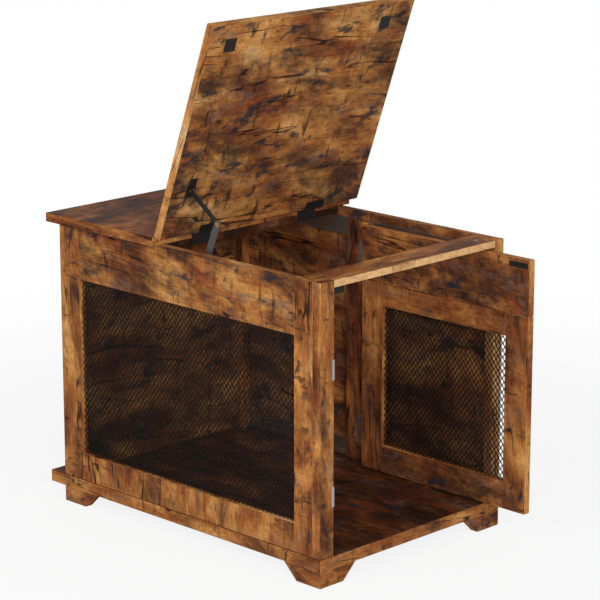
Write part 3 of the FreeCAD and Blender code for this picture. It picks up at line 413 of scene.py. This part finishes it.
# ---------------------------------------------------------------- lid
# The front part of the table top, hinged on the fixed board's front edge.  It stands
# open, so its underside shows: the same print, running across the table.

JOINTS = {joint["name"]: joint for joint in frame["record"]["behaviour"]["joints"]}
LID_AXIS = np.array(JOINTS["lid_hinge"]["pos_m"])
LID_OPEN = math.radians(JOINTS["lid_hinge"]["range_deg"][1])
LID_LIFT = 0.1 * MM   # shut, it stands a hair off the walls, so that no faces share a plane


def turn_up(angle):
    """The turning matrix about Y that lifts +X towards +Z by an angle."""
    cos, sin = math.cos(angle), math.sin(angle)
    return np.array([[cos, 0, -sin], [0, 1, 0], [sin, 0, cos]])


def shut_box(node):
    """The box of one of the lid's nodes with the lid shut, measured from the hinge axis."""
    mesh = frame["nodes"][node].data
    spots = np.array([v.co for v in mesh.vertices]) - LID_AXIS
    shut = spots @ turn_up(-LID_OPEN).T
    return shut.min(axis=0), shut.max(axis=0)


lid_low, lid_high = shut_box("lid_board")
lid_low = lid_low + np.array([0, 0, LID_LIFT])
lid = timber("lid_faced", box_rings(lid_low, lid_high), Y, light=0.60, stained=0.66,
             edge_light=0.06, seed=0.86, move=(turn_up(LID_OPEN), LID_AXIS))
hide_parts("lid_board")
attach(lid, "lid")


# ---------------------------------------------------------------- door frame
# A deep rail across the top, two stiles under it and two rails between them.  The frame
# hangs on the carriage's hinges and stands pushed back along the far wall.

board("door_hinge_stile", "door", Z, light=0.50, stained=0.38, edge_light=0.04, seed=0.17)
board("door_free_stile", "door", Z, light=0.48, stained=0.46, edge_light=0.14, seed=0.23)
board("door_top_rail", "door", X, line_below=True, light=0.42, stained=0.52,
      edge_light=0.2, seed=0.28)
board("door_mid_rail", "door", X, light=0.42, stained=0.35, seed=0.33)
board("door_bottom_rail", "door", X, light=0.45, stained=0.5, seed=0.35)


# ---------------------------------------------------------------- carriage strip
# A thin upright slat of the same faced board.  It slides along the far wall between the
# two channels and carries the door's hinges.

board("carriage_strip", "carriage", Z, light=0.40, stained=0.5, edge_light=0.05, seed=0.93)


# ---------------------------------------------------------------- expanded metal
# Mild steel sheet, slit and drawn open to diamonds 11 mm wide and 14 mm high, then
# powder coated black.  Each strand zigzags upward and meets its neighbours in turn.

DIAMOND_WIDE = 11.0 * MM
DIAMOND_HIGH = 14.1 * MM
STRAND_WIDE = 1.9 * MM
STRAND_THICK = 1.0 * MM
BOND_LONG = 2.4 * MM
STRAND_TILT = math.radians(24)
COAT_PEEL = 2.5 * MM


def powder_coat():
    """Black polyester powder, baked: half-gloss with a slight orange peel."""
    made, tree, shader = new_material("black_powder_coat")
    where = add(tree, "ShaderNodeTexCoord")
    peel = add(tree, "ShaderNodeTexNoise",
               {"Vector": where.outputs["Object"], "Scale": 1 / COAT_PEEL, "Detail": 2.0})
    mix = add(tree, "ShaderNodeMix",
              {0: peel.outputs["Fac"], 6: linear("#090807"), 7: linear("#14110F")},
              data_type="RGBA")
    bump = add(tree, "ShaderNodeBump",
               {"Height": peel.outputs["Fac"], "Strength": 0.12, "Distance": 0.1 * MM})
    tree.links.new(mix.outputs[2], shader.inputs["Base Color"])
    tree.links.new(bump.outputs[0], shader.inputs["Normal"])
    shader.inputs["Roughness"].default_value = 0.55
    shader.inputs["IOR"].default_value = 1.5
    shader.inputs["Specular IOR Level"].default_value = 0.12
    return made


black_coat = powder_coat()


def expanded_metal(name, low, high):
    """Zigzag strands of one section, each the mirror of the next, filling the box in X and Z.

    A strand's middle is x = column + side * swing(z), where swing goes from -1 to 1 and
    back once in a diamond's height and rests at each end over a bond.
    """
    swing = (DIAMOND_WIDE / 2 - STRAND_WIDE) / 2
    columns = int((high[0] - low[0] - STRAND_WIDE) // (DIAMOND_WIDE / 2))
    first = (low[0] + high[0]) / 2 - (columns - 1) * DIAMOND_WIDE / 4
    cells = int((high[2] - low[2]) // DIAMOND_HIGH)
    bottom = (low[2] + high[2]) / 2 - cells * DIAMOND_HIGH / 2
    slope = (DIAMOND_HIGH - 2 * BOND_LONG) / 2
    steps = np.array([0, BOND_LONG, BOND_LONG + slope, 2 * BOND_LONG + slope])
    z = (bottom + np.arange(cells)[:, None] * DIAMOND_HIGH + steps[None, :]).ravel()
    side = np.tile([-1, -1, 1, 1], cells)
    sign = np.where(np.arange(columns) % 2 == 0, 1, -1)
    middle_x = first + np.arange(columns)[:, None] * DIAMOND_WIDE / 2
    x = middle_x + sign[:, None] * side[None, :] * swing
    square = np.array([(-1, -1), (1, -1), (1, 1), (-1, 1)])
    section = square * np.array([STRAND_WIDE, STRAND_THICK]) / 2
    cos, sin = math.cos(STRAND_TILT), math.sin(STRAND_TILT)
    turned = section @ np.array([[cos, sin], [-sin, cos]])
    points = np.empty((columns, len(z), 4, 3))
    points[..., 0] = x[:, :, None] + turned[None, None, :, 0]
    points[..., 1] = (low[1] + high[1]) / 2 + turned[None, None, :, 1]
    points[..., 2] = z[None, :, None]
    index = np.arange(columns * len(z) * 4).reshape(columns, len(z), 4)
    ring = np.roll(index, -1, axis=2)
    quads = np.stack([index[:, :-1], ring[:, :-1], ring[:, 1:], index[:, 1:]], axis=-1)
    ends = np.vstack([index[:, 0, ::-1], index[:, -1, :]])
    faces = np.vstack([quads.reshape(-1, 4), ends])
    mesh = bpy.data.meshes.new(name)
    mesh.from_pydata(points.reshape(-1, 3).tolist(), [], faces.tolist())
    mesh.materials.append(black_coat)
    made = bpy.data.objects.new(name, mesh)
    scene.collection.objects.link(made)
    return made


for panel, body in (("near_mesh", "carcass"), ("door_mesh", "door")):
    screen = expanded_metal(panel + "_expanded", *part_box(panel))
    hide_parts(panel)
    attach(screen, body)


# ---------------------------------------------------------------- hardware
# Pressed steel, screwed on: zinc plated door hinges, bright channels, slide bars and
# strike plates, a dark lower stay arm and magnets, brass rivets.  The lid's hinges, the
# upper stay arm, the catches and the wall screws are stove-enamelled black.

ROLLED_LONG = 600 * MM   # a rolling line's length, along X
ROLLED_APART = 1 * MM
PLATE_BLOOM = 8 * MM
BLOOM_DARK = 0.72        # the darker clouds' share of the plate's colour
ENAMEL_WEAR = 6 * MM


def plated_steel(name, code, rough):
    """Plate over rolled steel, clouded at 8 mm, with rolling lines 1 mm apart in its gloss."""
    made, tree, shader = new_material(name)
    where = add(tree, "ShaderNodeTexCoord")
    lines = add(tree, "ShaderNodeMapping",
                {"Vector": where.outputs["Object"],
                 "Scale": (1 / ROLLED_LONG, 1 / ROLLED_APART, 1 / ROLLED_APART)})
    rolled = add(tree, "ShaderNodeTexNoise",
                 {"Vector": lines.outputs[0], "Scale": 1.0, "Detail": 1.0})
    spread = add(tree, "ShaderNodeMapRange",
                 {"Value": rolled.outputs["Fac"], "To Min": rough - 0.05,
                  "To Max": rough + 0.07})
    bloom = add(tree, "ShaderNodeTexNoise",
                {"Vector": where.outputs["Object"], "Scale": 1 / PLATE_BLOOM, "Detail": 3.0})
    full = linear(code)
    dull = [channel * BLOOM_DARK for channel in full[:3]] + [1.0]
    mix = add(tree, "ShaderNodeMix", {0: bloom.outputs["Fac"], 6: dull, 7: full},
              data_type="RGBA")
    tree.links.new(mix.outputs[2], shader.inputs["Base Color"])
    shader.inputs["Metallic"].default_value = 1.0
    tree.links.new(spread.outputs["Result"], shader.inputs["Roughness"])
    return made


def stove_enamel():
    """Black enamel on pressed steel: thin, half-matt, worn a little towards grey."""
    made, tree, shader = new_material("black_stove_enamel")
    where = add(tree, "ShaderNodeTexCoord")
    worn = add(tree, "ShaderNodeTexNoise",
               {"Vector": where.outputs["Object"], "Scale": 1 / ENAMEL_WEAR, "Detail": 4.0})
    mix = add(tree, "ShaderNodeMix",
              {0: worn.outputs["Fac"], 6: linear("#0B0A0A"), 7: linear("#1E1C1B")},
              data_type="RGBA")
    tree.links.new(mix.outputs[2], shader.inputs["Base Color"])
    shader.inputs["Roughness"].default_value = 0.42
    shader.inputs["Specular IOR Level"].default_value = 0.3
    return made


zinc = plated_steel("zinc_plated_steel", "#BFC1C3", 0.36)
bright = plated_steel("bright_rolled_steel", "#D2D3D2", 0.30)
dark_zinc = plated_steel("dark_rolled_steel", "#6A6763", 0.45)
brass = plated_steel("brass_plated_rivet", "#C49B58", 0.30)
enamel = stove_enamel()
FINISH = {"black_steel": enamel, "bright_steel": bright, "zinc_steel": zinc, "brass": brass,
          "black_plastic": enamel, "magnet": dark_zinc}
for part in frame["record"]["subparts"]:
    finish = FINISH.get(part["material_slot"])
    if finish:
        metal = frame["nodes"][part["node"]].data
        metal.materials.clear()
        metal.materials.append(dark_zinc if part["node"] == "stay_lower_arm" else finish)


# ---------------------------------------------------------------- studio
# A pale paper floor, a white surround, and two soft lamps, low at the front and higher at
# the left.  The camera looks down a little on the near front corner.

PAPER_NEAR, PAPER_FAR = 0.7, 2.2   # metres from the table's middle
PAPER_PLAIN = 0.86                 # the plain white share of the paper near the table
SURROUND_LIGHT = 0.34
TABLE_MIDDLE = (0, 0, 0.4)
LAMP_WIDE = 1.6
CAMERA_SPOT = (3.4052, -3.4100, 1.6840)
CAMERA_TURN = math.radians(134.727 - 90)
CAMERA_TILT = math.radians(-14.39)
CAMERA_LENS = 151.9                # mm, on a sensor 36 mm wide


def studio_paper():
    """White paper under the table: it takes a faint shadow and fades to the white surround.

    The camera sees six parts of plain white to one of lit paper near the table, and
    nothing but white far from it.
    """
    made, tree, shader = new_material("studio_paper")
    shader.inputs["Base Color"].default_value = linear("#F2F2F2")
    shader.inputs["Roughness"].default_value = 0.9
    shader.inputs["Specular IOR Level"].default_value = 0.1
    where = add(tree, "ShaderNodeTexCoord")
    reach = add(tree, "ShaderNodeVectorMath", {0: where.outputs["Object"]},
                operation="LENGTH")
    plain = add(tree, "ShaderNodeMapRange",
                {"Value": reach.outputs["Value"], "From Min": PAPER_NEAR,
                 "From Max": PAPER_FAR, "To Min": PAPER_PLAIN, "To Max": 1.0},
                interpolation_type="SMOOTHSTEP")
    path = add(tree, "ShaderNodeLightPath")
    share = add(tree, "ShaderNodeMath",
                {0: plain.outputs["Result"], 1: path.outputs["Is Camera Ray"]},
                operation="MULTIPLY")
    white = add(tree, "ShaderNodeEmission", {"Color": (1, 1, 1, 1), "Strength": 1.0})
    either = add(tree, "ShaderNodeMixShader",
                 {0: share.outputs[0], 1: shader.outputs[0], 2: white.outputs[0]})
    tree.links.new(either.outputs[0], tree.nodes["Material Output"].inputs["Surface"])
    return made


bpy.ops.mesh.primitive_plane_add(size=30, location=(0, 0, 0))
floor = bpy.context.object
floor.name = "studio_floor"
floor.data.materials.append(studio_paper())

world = bpy.data.worlds.new("studio")
scene.world = world
world.use_nodes = True
sky = world.node_tree
sky.nodes.clear()
path = add(sky, "ShaderNodeLightPath")
seen = add(sky, "ShaderNodeMath",
           {0: path.outputs["Is Camera Ray"], 1: path.outputs["Is Glossy Ray"]},
           operation="MAXIMUM")
seen_through = add(sky, "ShaderNodeMath",
                   {0: seen.outputs[0], 1: path.outputs["Is Transmission Ray"]},
                   operation="MAXIMUM")
lit = add(sky, "ShaderNodeBackground", {"Color": (1, 1, 1, 1), "Strength": SURROUND_LIGHT})
shown = add(sky, "ShaderNodeBackground", {"Color": (1, 1, 1, 1), "Strength": 1.0})
either = add(sky, "ShaderNodeMixShader",
             {0: seen_through.outputs[0], 1: lit.outputs[0], 2: shown.outputs[0]})
add(sky, "ShaderNodeOutputWorld", {"Surface": either.outputs[0]})


def lamp(name, spot, watts):
    """A square soft lamp at spot, turned to the table's middle."""
    light = bpy.data.lights.new(name, "AREA")
    light.size = LAMP_WIDE
    light.energy = watts
    made = bpy.data.objects.new(name, light)
    scene.collection.objects.link(made)
    made.location = spot
    away = np.array(spot) - np.array(TABLE_MIDDLE)
    made.rotation_euler = (math.acos(away[2] / np.linalg.norm(away)), 0,
                           math.atan2(away[1], away[0]) + math.pi / 2)
    return made


lamp("front_lamp", (3.9, -2.4, 1.9), 114)
lamp("left_lamp", (0.6, -4.0, 2.6), 66)

camera = bpy.data.cameras.new("studio_camera")
camera.sensor_width = 36
camera.lens = CAMERA_LENS
camera.clip_end = 100
eye = bpy.data.objects.new("studio_camera", camera)
scene.collection.objects.link(eye)
eye.location = CAMERA_SPOT
eye.rotation_euler = (math.pi / 2 + CAMERA_TILT, 0, CAMERA_TURN)
scene.camera = eye
